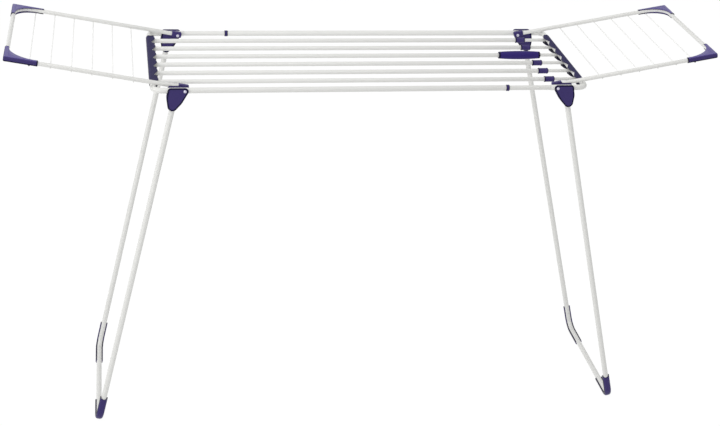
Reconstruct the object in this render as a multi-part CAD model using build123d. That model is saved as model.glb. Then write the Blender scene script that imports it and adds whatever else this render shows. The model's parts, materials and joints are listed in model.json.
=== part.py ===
"""Extending clothes drying rack: telescopic rod frame, two folding wings, two folding leg frames.

Millimetres. X runs along the rods, Y across them, Z up, with the origin on the floor
under the middle of the rack. Rest pose: legs spread, wings out, frame pushed together.
Right-hand pieces are modelled once and turned half round about Z for the left-hand side.
"""
from build123d import *
import math
import os

# ---- centre frame ----
CROSSBAR_X = 623.0          # middle of the rack to the axis of each crossbar
FRAME_Y = 270.0             # middle of the rack to the axis of each outer frame tube
FRAME_Z = 1062.0            # floor to the plane of the frame tubes and rods
FRAME_TUBE_D = 16.0
FRAME_TUBE_WALL = 0.8
FRAME_BEND_R = 25.0
FRAME_TUBE_END_X = 390.0    # open end of each long frame tube, past the middle
SLIDE_TUBE_GAP = 0.4        # all round a slide tube in the long frame tube
SLIDE_TUBE_WALL = 0.8
SLIDE_TUBE_INSIDE = 300.0   # reach of each slide tube past the middle
SLIDE_TRAVEL = 450.0

# ---- rods ----
ROD_COUNT = 6
ROD_PITCH = 77.0
OUTER_ROD_D = 13.0
OUTER_ROD_WALL = 0.8
OUTER_ROD_END_X = 543.0
INNER_ROD_GAP = 0.7         # all round a thin rod in a thick one
INNER_ROD_WALL = 0.8
ROD_OVERLAP = 113.0         # rod left inside rod with the frame pulled right out
COLLAR_LENGTH = 30.5
COLLAR_WALL = 2.15
COLLAR_LIP = 3.0
GLIDE_LENGTH = 20.0
GLIDE_HEAD = 12.0

# ---- twist grip ----
GRIP_ROD = 3
GRIP_LENGTH = 130.0
GRIP_MIDDLE_D = 26.0
GRIP_END_D = 20.5
GRIP_PAST_ROD = 14.5
GRIP_MOUTH_GAP = 1.3        # all round the rod inside each mouth of the grip
LOCK_FLANGE_LIP = 0.8       # flange past the outside of the rod
LOCK_FLANGE = 2.5
LOCK_SPIGOT = 14.0

# ---- frame tube rings ----
RING_LENGTH = 9.5
RING_WALL = 1.05
RING_LIP = 2.0

# ---- combs on the crossbars ----
COMB_WALL = 1.7
COMB_PAST_ROD = 27.0        # last rod to the end of the comb
COMB_LIP_ANGLE = 55.0       # how far the clip reaches past top and bottom, inwards
COMB_LIP_REACH = 5.4        # bottom of each notch, inwards from the crossbar axis
COMB_TOOTH_REACH = 17.2     # tip of each tooth, over its rod
COMB_TOOTH_SIDE = 13.5      # near shoulder of each tooth
COMB_SHOULDER = 26.0        # rod to the near shoulder, to the front
COMB_END_R = 4.0

# ---- hinges ----
PIVOT_X = 536.0             # middle of the rack to each hinge rivet
RIVET_D = 5.0
RIVET_HEAD_D = 9.0
RIVET_HEAD_T = 1.7
PLATE_T = 3.0
PLATE_GAP = 0.5
PLATE_R = 10.0              # rounding of the plate around the rivet
PLATE_CORNER_R = 8.0
PLATE_CORNER_OUT = 39.5     # rivet to the centre of the outer corner rounding
PLATE_BELLY_R = 23.2        # swell between the corner, the tip and the rivet
PLATE_BELLY_OUT = 28.3
PLATE_BELLY_DOWN = 22.0
PLATE_TIP_R = 14.0
PLATE_TIP_OUT = 35.0
PLATE_TIP_DOWN = 43.3
WEB_T = 3.0
SOCKET_WALL = 1.9
RUN_GAP = 0.35              # side clearance between pieces that turn past each other

# ---- legs ----
LEG_TUBE_D = 16.0
LEG_TUBE_WALL = 0.8
LEG_BEND_R = 34.0
LEG_OFFSET = 22.5           # rivet to the leg axis, outwards
FOOT_X = 798.5              # middle of the rack to the axis of each floor bar
FOOT_Y = 246.5              # half the distance between the two leg axes at the floor bar
FOOT_BAR_Z = 10.0
FOOT_OUT = 9.2              # leg axis to the outer face of a foot piece
FOOT_SIDE = 11.0            # leg axis to each side face of a foot piece
FOOT_IN = 3.5
FOOT_ARM_UP = 79.0
FOOT_ARM_ALONG = 118.0

# ---- wings ----
WING_TILT = 10.3            # degrees above level
WING_LENGTH = 488.0         # rivet to the axis of the end tube
WING_TUBE_D = 12.0
WING_TUBE_WALL = 0.8
WING_BEND_R = 68.0
WING_RISE = 2.5             # wing tube axis above the rivet
WIRE_D = 3.4
WIRE_COUNT = 6
WIRE_FIRST = 142.0          # rivet to the nearest wire
WIRE_LAST = 63.0            # farthest wire to the axis of the end tube
WIRE_OVERHANG = 2.5
WIRE_SLOT_GAP = 0.8         # all round the last wire where it passes a corner piece
CORNER_WALL = 1.6
CORNER_ARM_SIDE = 85.0
CORNER_ARM_END = 90.0
CORNER_EDGE = 4.0           # inner edge of each arm past the tube axis
CORNER_WEB_R = 74.0
CORNER_SHARP_R = 4.0
CORNER_PLATE_GAP = 0.1      # between the tube and the flat plates of a corner piece
CAP_CHEEK = 0.95            # wall of the cap beside the tube
CAP_WALL = 2.15             # wall of the cap above and below the tube
CAP_END_R = 4.0
WING_STOP_LENGTH = 10.0
CAP_IN = 11.0
CAP_OUT = 18.0
CAP_TUBE_START = 5.0

# ---- clearances ----
FIT = 0.08                  # radial, for a pin or tube that turns or slides in its hole
SEAT = 0.05                 # radial, for a piece pressed or welded onto another
REST_GAP = 0.3              # between pieces that only meet when folded out

# ---- worked out ----
SLIDE_TUBE_D = FRAME_TUBE_D - 2 * (FRAME_TUBE_WALL + SLIDE_TUBE_GAP)
INNER_ROD_D = OUTER_ROD_D - 2 * (OUTER_ROD_WALL + INNER_ROD_GAP)
COLLAR_D = OUTER_ROD_D + 2 * (SEAT + COLLAR_WALL)
GRIP_MOUTH_D = OUTER_ROD_D + 2 * GRIP_MOUTH_GAP
LOCK_FLANGE_D = OUTER_ROD_D + 2 * LOCK_FLANGE_LIP
RING_D = FRAME_TUBE_D + 2 * (SEAT + RING_WALL)
CAP_WIDTH = WING_TUBE_D + 2 * (SEAT + CAP_CHEEK)
CAP_HEIGHT = WING_TUBE_D + 2 * (SEAT + CAP_WALL)
TUBE_R = FRAME_TUBE_D / 2
SLIDE_R = SLIDE_TUBE_D / 2
OUTER_R = OUTER_ROD_D / 2
INNER_R = INNER_ROD_D / 2
LEG_R = LEG_TUBE_D / 2
WING_R = WING_TUBE_D / 2
RIVET_R = RIVET_D / 2
ROD_Y = [ROD_PITCH * ((ROD_COUNT - 1) / 2 - i) for i in range(ROD_COUNT)]
GRIP_INDEX = GRIP_ROD - 1
GRIP_Y = ROD_Y[GRIP_INDEX]
GRIP_END_X = OUTER_ROD_END_X + GRIP_PAST_ROD
COLLAR_END_X = OUTER_ROD_END_X + COLLAR_LIP
INNER_ROD_END_X = OUTER_ROD_END_X - ROD_OVERLAP - SLIDE_TRAVEL
STUB_END_X = PIVOT_X - 2 * PLATE_R

PLATE_IN_Y = FRAME_Y - TUBE_R - PLATE_GAP - PLATE_T
PLATE_OUT_Y = FRAME_Y + TUBE_R + PLATE_GAP
CAP_OUT_Y = PLATE_IN_Y - RUN_GAP
CAP_IN_Y = CAP_OUT_Y - CAP_WIDTH
WING_Y = (CAP_IN_Y + CAP_OUT_Y) / 2
RIVET_OUT_Y = PLATE_OUT_Y + PLATE_T + RUN_GAP
RIVET_IN_Y = CAP_IN_Y - RUN_GAP

FOOT_DROP = FRAME_Z - FOOT_BAR_Z
FOOT_RUN = FOOT_X - PIVOT_X
LEG_LEAN = math.degrees(
    math.atan2(FOOT_RUN, FOOT_DROP) - math.asin(LEG_OFFSET / math.hypot(FOOT_RUN, FOOT_DROP))
)
LEG_LEAN_SIN = math.sin(math.radians(LEG_LEAN))
LEG_LEAN_COS = math.cos(math.radians(LEG_LEAN))
LEG_FOLD = 90.0 + LEG_LEAN
STOP_Z = -(TUBE_R + REST_GAP)
LEG_REACH = math.sqrt(FOOT_RUN ** 2 + FOOT_DROP ** 2 - LEG_OFFSET ** 2)
LEG_TOP = (FOOT_DROP + STOP_Z - WEB_T - LEG_R * LEG_LEAN_SIN) / LEG_LEAN_COS
LEG_PLANE = Plane(
    origin=(FOOT_X, 0, FOOT_BAR_Z),
    x_dir=(0, 1, 0),
    z_dir=(LEG_LEAN_COS, 0, LEG_LEAN_SIN),
)

TILT_SIN = math.sin(math.radians(WING_TILT))
TILT_COS = math.cos(math.radians(WING_TILT))
WING_PLANE = Plane(
    origin=(PIVOT_X, 0, FRAME_Z),
    x_dir=(0, -1, 0),
    z_dir=(-TILT_SIN, 0, TILT_COS),
)
CORNER_R = WING_R + SEAT + CORNER_WALL
WIRE_PITCH = (WING_LENGTH - WIRE_LAST - WIRE_FIRST) / (WIRE_COUNT - 1)
WIRE_ALONG = [WIRE_FIRST + i * WIRE_PITCH for i in range(WIRE_COUNT)]
COMB_HALF = ROD_Y[0] + COMB_PAST_ROD
STOP_ALONG = (CROSSBAR_X - PIVOT_X) * TILT_COS
STOP_ROOM = (CROSSBAR_X - PIVOT_X) * TILT_SIN + WING_RISE - WING_R - TUBE_R
STOP_D = STOP_ROOM - SEAT - REST_GAP
WIRE_RISE = WING_RISE - WING_R - WIRE_D / 2 - SEAT
WIRE_END_Y = WING_Y + WIRE_OVERHANG


# ---- helpers ----
def half_turn(shape):
    """The same piece on the other side of the rack."""
    return Rot(0, 0, 180) * shape


def both_sides(shape):
    """A piece and its mirror image across the middle plane Y = 0."""
    return [shape, mirror(shape, about=Plane.XZ)]


def bar_x(start, end, y, diameter, bore=0.0):
    """A straight round bar or tube along X at frame height."""
    length = end - start
    body = Cylinder(diameter / 2, length)
    if bore:
        body -= Cylinder(bore / 2, length)
    return Pos((start + end) / 2, y, FRAME_Z) * Rot(0, 90, 0) * body


def bar_y(start, end, x, z, diameter):
    """A straight round bar along Y."""
    return Pos(x, (start + end) / 2, z) * Rot(90, 0, 0) * Cylinder(diameter / 2, end - start)


def swept(path, outer, bore=0.0):
    """A round bar, or a tube when a bore is given, along a path."""
    section = Circle(outer / 2)
    if bore:
        section -= Circle(bore / 2)
    return sweep(Plane(origin=path @ 0, z_dir=path % 0) * section, path=path)


def hinge_slab(outline, low_y, high_y):
    """An outline drawn about the rivet, made solid from low_y to high_y."""
    plane = Plane(origin=(PIVOT_X, high_y, FRAME_Z), x_dir=(1, 0, 0), z_dir=(0, -1, 0))
    return extrude(plane * outline, high_y - low_y)


def leg_half_width(along):
    """Half the distance between the leg axes, at a length above the floor bar."""
    return FOOT_Y + (FRAME_Y - FOOT_Y) * along / LEG_REACH


# ---- centre frame tubes ----
def frame_path():
    corner = CROSSBAR_X
    points = [
        (-FRAME_TUBE_END_X, FRAME_Y, FRAME_Z),
        (corner, FRAME_Y, FRAME_Z),
        (corner, -FRAME_Y, FRAME_Z),
        (STUB_END_X, -FRAME_Y, FRAME_Z),
    ]
    return FilletPolyline(*points, radius=FRAME_BEND_R)


def frame_tube():
    """Long tube, corner, crossbar, corner and short stub, bent from one tube."""
    tube = swept(frame_path(), FRAME_TUBE_D, FRAME_TUBE_D - 2 * FRAME_TUBE_WALL)
    hole = bar_y(-2 * FRAME_Y, 2 * FRAME_Y, PIVOT_X, FRAME_Z, RIVET_D + 2 * SEAT)
    return tube - hole


def slide_tube():
    """Straight tube from the stub of this half into the long tube of the other half."""
    start = -SLIDE_TUBE_INSIDE
    end = CROSSBAR_X - FRAME_BEND_R
    tube = bar_x(start, end, -FRAME_Y, SLIDE_TUBE_D, SLIDE_TUBE_D - 2 * SLIDE_TUBE_WALL)
    return tube - bar_y(-2 * FRAME_Y, 0, PIVOT_X, FRAME_Z, RIVET_D + 2 * SEAT)


def glide(end_x, y, tube_d, wall, bore):
    """Plastic glide on the inner end of a sliding tube, facing the middle of the rack."""
    head = bar_x(end_x - GLIDE_HEAD, end_x, y, bore - 2 * FIT)
    spigot = bar_x(end_x, end_x + GLIDE_LENGTH - GLIDE_HEAD, y, tube_d - 2 * wall - 2 * SEAT)
    return head + spigot


def tube_glide():
    bore = FRAME_TUBE_D - 2 * FRAME_TUBE_WALL
    return glide(-SLIDE_TUBE_INSIDE, -FRAME_Y, SLIDE_TUBE_D, SLIDE_TUBE_WALL, bore)


def tube_ring():
    """Ring on the open end of the long frame tube, guiding the other half's slide tube."""
    start = -FRAME_TUBE_END_X - RING_LIP
    ring = bar_x(start, start + RING_LENGTH, FRAME_Y, RING_D)
    ring -= bar_x(-FRAME_TUBE_END_X, 0, FRAME_Y, FRAME_TUBE_D + 2 * SEAT)
    ring -= bar_x(start, 0, FRAME_Y, SLIDE_TUBE_D + 2 * FIT)
    return ring


# ---- rods ----
def outer_rod(y):
    """Thick rod, welded to the left crossbar."""
    rod = bar_x(-CROSSBAR_X, OUTER_ROD_END_X, y, OUTER_ROD_D, OUTER_ROD_D - 2 * OUTER_ROD_WALL)
    return rod - bar_y(-FRAME_Y, FRAME_Y, -CROSSBAR_X, FRAME_Z, FRAME_TUBE_D + 2 * SEAT)


def inner_rod(y):
    """Thin rod, welded to the right crossbar and sliding in the thick one."""
    rod = bar_x(INNER_ROD_END_X, CROSSBAR_X, y, INNER_ROD_D, INNER_ROD_D - 2 * INNER_ROD_WALL)
    return rod - bar_y(-FRAME_Y, FRAME_Y, CROSSBAR_X, FRAME_Z, FRAME_TUBE_D + 2 * SEAT)


def rod_glide(y):
    bore = OUTER_ROD_D - 2 * OUTER_ROD_WALL
    return glide(INNER_ROD_END_X, y, INNER_ROD_D, INNER_ROD_WALL, bore)


def rod_collar(y):
    """Sleeve over the end of a thick rod, with a lip that guides the thin rod."""
    start = COLLAR_END_X - COLLAR_LENGTH
    collar = bar_x(start, COLLAR_END_X, y, COLLAR_D)
    collar -= bar_x(start, OUTER_ROD_END_X, y, OUTER_ROD_D + 2 * SEAT)
    return collar - bar_x(start, COLLAR_END_X, y, INNER_ROD_D + 2 * FIT)


def twist_grip():
    """Barrel grip that turns on the end of one thick rod."""
    half = GRIP_LENGTH / 2
    profile = Polyline((-half, 0), (-half, GRIP_END_D / 2)) + Spline(
        (-half, GRIP_END_D / 2), (0, GRIP_MIDDLE_D / 2), (half, GRIP_END_D / 2)
    )
    profile += Polyline((half, GRIP_END_D / 2), (half, 0), (-half, 0))
    barrel = revolve(make_face(profile), Axis.X)
    barrel = Pos(GRIP_END_X - half, GRIP_Y, FRAME_Z) * barrel
    start = GRIP_END_X - GRIP_LENGTH
    mouth = 2 * GRIP_PAST_ROD
    barrel -= bar_x(start, GRIP_END_X, GRIP_Y, OUTER_ROD_D + 2 * FIT)
    barrel -= bar_x(start, start + GRIP_PAST_ROD, GRIP_Y, GRIP_MOUTH_D)
    return barrel - bar_x(GRIP_END_X - mouth, GRIP_END_X, GRIP_Y, GRIP_MOUTH_D)


def lock_bush():
    """Bush in the end of the gripped rod; its flange keeps the grip on."""
    end = OUTER_ROD_END_X + LOCK_FLANGE
    bush = bar_x(OUTER_ROD_END_X, end, GRIP_Y, LOCK_FLANGE_D)
    spigot_d = OUTER_ROD_D - 2 * OUTER_ROD_WALL - 2 * SEAT
    bush += bar_x(OUTER_ROD_END_X - LOCK_SPIGOT, OUTER_ROD_END_X, GRIP_Y, spigot_d)
    return bush - bar_x(OUTER_ROD_END_X - LOCK_SPIGOT, end, GRIP_Y, INNER_ROD_D + 2 * FIT)


# ---- combs ----
def comb_tooth(y):
    """Outline of one tooth of the right-hand comb, over the rod at y."""
    root = CROSSBAR_X
    notch = ROD_PITCH / 2
    points = [
        (root, y - notch),
        (root - COMB_LIP_REACH, y - notch),
        (root - COMB_TOOTH_SIDE, y - COMB_SHOULDER),
        (root - COMB_TOOTH_REACH, y),
        (root - COMB_LIP_REACH, y + notch),
        (root, y + notch),
    ]
    return Polygon(*points, align=None)


def comb_lip(low, high):
    """One lip of the comb with its teeth, between two heights."""
    plate = Pos(CROSSBAR_X - COMB_LIP_REACH / 2, 0) * Rectangle(COMB_LIP_REACH, 2 * COMB_HALF)
    for y in ROD_Y:
        plate += comb_tooth(y)
    plate &= Pos(CROSSBAR_X, 0) * Rectangle(4 * COMB_TOOTH_REACH, 2 * COMB_HALF)
    return Pos(0, 0, low) * extrude(plate, high - low, dir=(0, 0, 1))


def comb():
    """Clip-on comb over the right crossbar."""
    bore = TUBE_R + SEAT
    out = bore + COMB_WALL
    clip = Circle(out) - Circle(bore)
    mouth = Polygon(
        (0, 0),
        (-2 * out, 2 * out * math.tan(math.radians(COMB_LIP_ANGLE))),
        (-2 * out, -2 * out * math.tan(math.radians(COMB_LIP_ANGLE))),
        align=None,
    )
    plane = Plane(origin=(CROSSBAR_X, COMB_HALF, FRAME_Z), x_dir=(1, 0, 0), z_dir=(0, -1, 0))
    body = extrude(plane * (clip - mouth), 2 * COMB_HALF)
    lips = comb_lip(FRAME_Z + bore, FRAME_Z + out) + comb_lip(FRAME_Z - out, FRAME_Z - bore)
    body += lips - bar_y(-COMB_HALF, COMB_HALF, CROSSBAR_X, FRAME_Z, 2 * bore)
    reach = 2 * COMB_TOOTH_REACH
    plan = Pos(CROSSBAR_X + out - reach / 2, 0) * Rectangle(reach, 2 * COMB_HALF)
    plan = fillet(plan.vertices().group_by(Axis.X)[-1], COMB_END_R)
    return body & Pos(0, 0, FRAME_Z - 2 * out) * extrude(plan, 4 * out, dir=(0, 0, 1))


# ---- hinges ----
def hinge_rivet(side):
    """Rivet through plate, frame tube, plate and wing cap; side is +1 rear or -1 front."""
    shank = bar_y(RIVET_IN_Y, RIVET_OUT_Y, PIVOT_X, FRAME_Z, RIVET_D)
    outer = bar_y(RIVET_OUT_Y, RIVET_OUT_Y + RIVET_HEAD_T, PIVOT_X, FRAME_Z, RIVET_HEAD_D)
    inner = bar_y(RIVET_IN_Y - RIVET_HEAD_T, RIVET_IN_Y, PIVOT_X, FRAME_Z, RIVET_HEAD_D)
    rivet = shank + outer + inner
    if side < 0:
        rivet = mirror(rivet, about=Plane.XZ)
    return rivet


def plate_outline():
    """Shield outline of a leg bracket, drawn about the rivet with the outer side at +x."""
    circles = [
        Circle(PLATE_R),
        Pos(PLATE_CORNER_OUT, PLATE_R - PLATE_CORNER_R) * Circle(PLATE_CORNER_R),
        Pos(PLATE_BELLY_OUT, -PLATE_BELLY_DOWN) * Circle(PLATE_BELLY_R),
        Pos(PLATE_TIP_OUT, -PLATE_TIP_DOWN) * Circle(PLATE_TIP_R),
    ]
    edges = []
    for circle in circles:
        edges += circle.edges()
    return make_hull(edges)


def leg_bracket():
    """Rear right bracket: two shield plates, a stop web under the frame tube, a leg socket."""
    outline = plate_outline()
    inner = hinge_slab(outline, PLATE_IN_Y, PLATE_IN_Y + PLATE_T)
    outer = hinge_slab(outline, PLATE_OUT_Y, PLATE_OUT_Y + PLATE_T)
    size = 10 * PLATE_TIP_DOWN
    below = Pos(0, STOP_Z - size / 2) * Rectangle(2 * size, size)
    core = outline & below & (Rot(0, 0, LEG_FOLD) * below)
    core_slab = hinge_slab(core, PLATE_IN_Y, PLATE_OUT_Y + PLATE_T)
    web = Pos(0, STOP_Z - WEB_T / 2) * Rectangle(2 * size, WEB_T)
    wall = core - offset(core, -WEB_T)
    wall &= Pos(size / 2 + PLATE_TIP_OUT, 0) * Rectangle(size, 2 * size)
    body = hinge_slab((core & web) + wall, PLATE_IN_Y, PLATE_OUT_Y + PLATE_T)
    socket_axis = leg_line()
    body += swept(socket_axis, LEG_TUBE_D + 2 * (SEAT + SOCKET_WALL)) & core_slab
    body += inner
    body += outer
    body -= swept(socket_axis, LEG_TUBE_D + 2 * SEAT)
    return body - bar_y(0, 2 * FRAME_Y, PIVOT_X, FRAME_Z, RIVET_D + 2 * FIT)


# ---- legs ----
def leg_point(across, along):
    """A point on the leg axes' plane, from the middle plane and the floor bar."""
    return LEG_PLANE.from_local_coords((across, along, 0))


def leg_line():
    """Axis of the rear leg, from its top end to the bend."""
    return Line(leg_point(leg_half_width(LEG_TOP), LEG_TOP), leg_point(FOOT_Y, 0))


def leg_path():
    """Axis of the whole leg frame: down the rear leg, along the floor bar, up the front leg."""
    top = leg_half_width(LEG_TOP)
    points = [
        leg_point(top, LEG_TOP),
        leg_point(FOOT_Y, 0),
        leg_point(-FOOT_Y, 0),
        leg_point(-top, LEG_TOP),
    ]
    return FilletPolyline(*points, radius=LEG_BEND_R)


def leg_tube():
    return swept(leg_path(), LEG_TUBE_D, LEG_TUBE_D - 2 * LEG_TUBE_WALL)


def foot_piece():
    """Channel over the rear right bend, open inwards, with a flat sole on the floor."""
    points = [
        leg_point(leg_half_width(FOOT_ARM_UP), FOOT_ARM_UP),
        leg_point(FOOT_Y, 0),
        leg_point(FOOT_Y - FOOT_ARM_ALONG, 0),
    ]
    path = FilletPolyline(*points, radius=LEG_BEND_R)
    depth = FOOT_OUT + FOOT_IN
    section = Pos((FOOT_OUT - FOOT_IN) / 2, 0) * Rectangle(depth, 2 * FOOT_SIDE)
    start = Plane(
        origin=path @ 0,
        x_dir=LEG_PLANE.z_dir.cross(path % 0),
        z_dir=path % 0,
    )
    body = sweep(start * section, path=path)
    body -= swept(leg_path(), LEG_TUBE_D + 2 * SEAT)
    floor = Pos(FOOT_X, 0, -FOOT_OUT * 5) * Box(20 * FOOT_OUT, 4 * FOOT_Y, FOOT_OUT * 10)
    return body - floor


# ---- wings ----
def wing_point(across, along, rise=WING_RISE):
    """A point in the wing's own plane: to the front, outwards from the rivet, and up."""
    return WING_PLANE.from_local_coords((across, along, rise))


def wing_path(start):
    points = [
        wing_point(-WING_Y, start),
        wing_point(-WING_Y, WING_LENGTH),
        wing_point(WING_Y, WING_LENGTH),
        wing_point(WING_Y, start),
    ]
    return FilletPolyline(*points, radius=WING_BEND_R)


def wing_tube():
    return swept(wing_path(CAP_TUBE_START), WING_TUBE_D, WING_TUBE_D - 2 * WING_TUBE_WALL)


def wing_wires():
    """Straight wires welded under the side tubes."""
    wires = []
    for along in WIRE_ALONG:
        middle = wing_point(0, along, WIRE_RISE)
        wires.append(bar_y(-WIRE_END_Y, WIRE_END_Y, middle.X, middle.Z, WIRE_D))
    return wires


def wing_stops():
    """Short studs welded under the side tubes, which lie on the frame's corners."""
    middle = wing_point(0, STOP_ALONG, WING_RISE - WING_R - SEAT - STOP_D / 2)
    stud = bar_y(
        WING_Y - WING_STOP_LENGTH / 2, WING_Y + WING_STOP_LENGTH / 2, middle.X, middle.Z, STOP_D
    )
    return both_sides(stud)


def wire_slot(along):
    """Cutter for a corner piece around the end of one wire, open downwards."""
    width = WIRE_D + 2 * WIRE_SLOT_GAP
    top = WIRE_RISE + width / 2
    low = WING_RISE - 2 * CORNER_R
    return Pos(0, along, (top + low) / 2) * Box(2 * (WIRE_END_Y + WIRE_SLOT_GAP), width, top - low)


def wing_corner():
    """Channel over the rear outer corner of the right wing, open inwards."""
    edge = WING_Y + CORNER_R
    end = WING_LENGTH + CORNER_R
    inner = WING_Y - CORNER_EDGE
    low = WING_LENGTH - CORNER_EDGE
    side_start = WING_LENGTH - CORNER_ARM_SIDE
    end_start = WING_Y - CORNER_ARM_END
    outline = Polyline(
        (edge, side_start), (edge, end), (end_start, end), (end_start, low),
        (inner - CORNER_WEB_R, low),
    )
    outline += RadiusArc(
        (inner - CORNER_WEB_R, low), (inner, low - CORNER_WEB_R), CORNER_WEB_R
    )
    outline += Polyline((inner, low - CORNER_WEB_R), (inner, side_start), (edge, side_start))
    face = make_face(outline)
    tip = face.vertices().sort_by_distance((edge, end, 0))[0]
    face = fillet(tip, CORNER_SHARP_R)
    solid = Pos(0, 0, WING_RISE - CORNER_R) * extrude(face, 2 * CORNER_R)
    hollow = 2 * (WING_R + SEAT)
    far = 2 * WING_LENGTH
    room = hollow + 2 * CORNER_PLATE_GAP
    channel = Pos(WING_Y - far / 2, WING_LENGTH - far / 2, WING_RISE) * Box(far, far, room)
    placed = WING_PLANE * mirror(solid - channel, about=Plane.YZ)
    placed -= swept(wing_path(0), hollow)
    for along in WIRE_ALONG:
        placed -= WING_PLANE * wire_slot(along)
    return placed


def wing_cap():
    """End cap of the rear side tube of the right wing, turning on the hinge rivet."""
    block = Pos((CAP_OUT - CAP_IN) / 2, 0) * Rectangle(CAP_IN + CAP_OUT, CAP_HEIGHT)
    inner = block.vertices().group_by(Axis.X)[0]
    block = fillet(inner, CAP_END_R)
    plane = Plane(
        origin=(PIVOT_X - WING_RISE * TILT_SIN, CAP_OUT_Y, FRAME_Z + WING_RISE * TILT_COS),
        x_dir=(TILT_COS, 0, TILT_SIN),
        z_dir=(0, -1, 0),
    )
    cap = extrude(plane * block, CAP_WIDTH)
    cap -= swept(wing_path(CAP_TUBE_START - SEAT), WING_TUBE_D + 2 * SEAT)
    return cap - bar_y(0, 2 * FRAME_Y, PIVOT_X, FRAME_Z, RIVET_D + 2 * FIT)


# ---- the whole rack ----
def rack():
    """Every node name with its solids."""
    nodes = {}
    nodes["right_frame_tube"] = [frame_tube()]
    nodes["right_slide_tube"] = [slide_tube()]
    nodes["right_tube_glide"] = [tube_glide()]
    nodes["right_tube_ring"] = [tube_ring()]
    nodes["right_comb"] = [comb()]
    nodes["right_leg_tube"] = [leg_tube()]
    nodes["right_wing_tube"] = [wing_tube()]
    nodes["right_wing_wires"] = wing_wires()
    nodes["right_wing_stops"] = wing_stops()
    for side, name in ((1, "rear"), (-1, "front")):
        nodes[f"right_{name}_hinge_rivet"] = [hinge_rivet(side)]
    paired = {
        "leg_bracket": leg_bracket(),
        "foot_piece": foot_piece(),
        "wing_corner": wing_corner(),
        "wing_cap": wing_cap(),
    }
    for name, shape in paired.items():
        rear, front = both_sides(shape)
        nodes[f"right_rear_{name}"] = [rear]
        nodes[f"right_front_{name}"] = [front]
    for name in list(nodes):
        turned = [half_turn(solid) for solid in nodes[name]]
        other = name.replace("right_", "left_")
        if "_rear_" in name:
            other = other.replace("_rear_", "_front_")
        elif "_front_" in name:
            other = other.replace("_front_", "_rear_")
        nodes[other] = turned
    for i, y in enumerate(ROD_Y):
        nodes[f"outer_rod_{i + 1}"] = [outer_rod(y)]
        nodes[f"inner_rod_{i + 1}"] = [inner_rod(y)]
        if i != GRIP_INDEX:
            nodes[f"rod_collar_{i + 1}"] = [rod_collar(y)]
    nodes["rod_glides"] = [rod_glide(y) for y in ROD_Y]
    nodes["twist_grip"] = [twist_grip()]
    nodes["lock_bush"] = [lock_bush()]
    return nodes


def main():
    os.makedirs("parts", exist_ok=True)
    for name, solids in rack().items():
        shape = solids[0] if len(solids) == 1 else Compound(children=solids)
        export_step(shape, os.path.join("parts", name + ".step"))


main()
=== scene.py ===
"""The finished look of an extending clothes drying rack, built round its fixed frame.

Metres. X runs along the rods, Y across them, Z up, with the origin on the floor under the
middle of the rack. Right-hand pieces are modelled once, mirrored front to back where they
are paired, and turned half round about Z for the left-hand side, as the real halves are.
"""

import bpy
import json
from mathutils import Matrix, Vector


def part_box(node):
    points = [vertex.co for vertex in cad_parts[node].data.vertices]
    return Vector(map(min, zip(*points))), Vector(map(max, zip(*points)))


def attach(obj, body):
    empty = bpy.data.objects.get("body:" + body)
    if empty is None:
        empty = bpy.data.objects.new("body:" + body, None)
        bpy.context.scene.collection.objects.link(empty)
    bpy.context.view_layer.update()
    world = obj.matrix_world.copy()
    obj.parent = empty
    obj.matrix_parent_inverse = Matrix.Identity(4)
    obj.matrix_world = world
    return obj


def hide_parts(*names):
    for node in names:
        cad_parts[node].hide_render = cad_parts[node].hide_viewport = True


bl_info = {
    "name": "Clothes drying rack",
    "version": (1, 0, 0),
    "blender": (4, 5, 0),
    "location": "3D View > Sidebar > Rack",
    "description": "Builds an extending clothes drying rack round its fixed frame",
    "category": "Object",
}

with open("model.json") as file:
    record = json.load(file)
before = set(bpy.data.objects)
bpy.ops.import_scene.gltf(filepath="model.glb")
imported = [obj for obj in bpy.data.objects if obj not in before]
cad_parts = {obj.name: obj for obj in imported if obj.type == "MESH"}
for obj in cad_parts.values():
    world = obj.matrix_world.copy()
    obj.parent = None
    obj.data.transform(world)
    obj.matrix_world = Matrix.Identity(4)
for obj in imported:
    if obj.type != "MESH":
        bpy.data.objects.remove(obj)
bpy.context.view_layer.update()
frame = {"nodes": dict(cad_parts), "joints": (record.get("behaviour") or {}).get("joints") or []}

import json
import math

import bmesh
import bpy
from bpy.props import FloatProperty, FloatVectorProperty, IntProperty, PointerProperty
from mathutils import Matrix, Vector

MM = 0.001

# ---- places that the frame gives ----
JOINTS = {joint["name"]: joint for joint in frame["joints"]}
PIVOT_X, _, FRAME_Z = JOINTS["right_wing_fold"]["pos_m"]
GRIP_Y = JOINTS["grip_twist"]["pos_m"][1]

tube_low, tube_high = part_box("right_frame_tube")
TUBE_R = (tube_high.z - tube_low.z) / 2
CROSSBAR_X = tube_high.x - TUBE_R
FRAME_Y = tube_high.y - TUBE_R
LONG_END_X = tube_low.x

slide_low, slide_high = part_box("right_slide_tube")
SLIDE_R = (slide_high.z - slide_low.z) / 2

THICK_ROD = "outer_rod_"
THIN_ROD = "inner_rod_"
ROD_NUMBERS = sorted(int(name.split("_")[-1]) for name in frame["nodes"] if name.startswith(THICK_ROD))
thick_low, thick_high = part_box(f"{THICK_ROD}1")
OUTER_R = (thick_high.z - thick_low.z) / 2
thin_low, thin_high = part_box(f"{THIN_ROD}1")
INNER_R = (thin_high.z - thin_low.z) / 2

leg_low, leg_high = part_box("right_leg_tube")
plate_low, plate_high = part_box("right_rear_leg_bracket")
foot_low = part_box("right_rear_foot_piece")[0]
cap_low, cap_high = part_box("right_rear_wing_cap")
WING_Y = (cap_low.y + cap_high.y) / 2
wing_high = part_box("right_wing_tube")[1]
wires_low, wires_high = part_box("right_wing_wires")
rivet_low, rivet_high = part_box("right_rear_hinge_rivet")
ring_low, ring_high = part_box("right_tube_ring")
grip_low, grip_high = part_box("twist_grip")
comb_low, comb_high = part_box("right_comb")
stop_low, stop_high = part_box("right_wing_stops")

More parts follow.
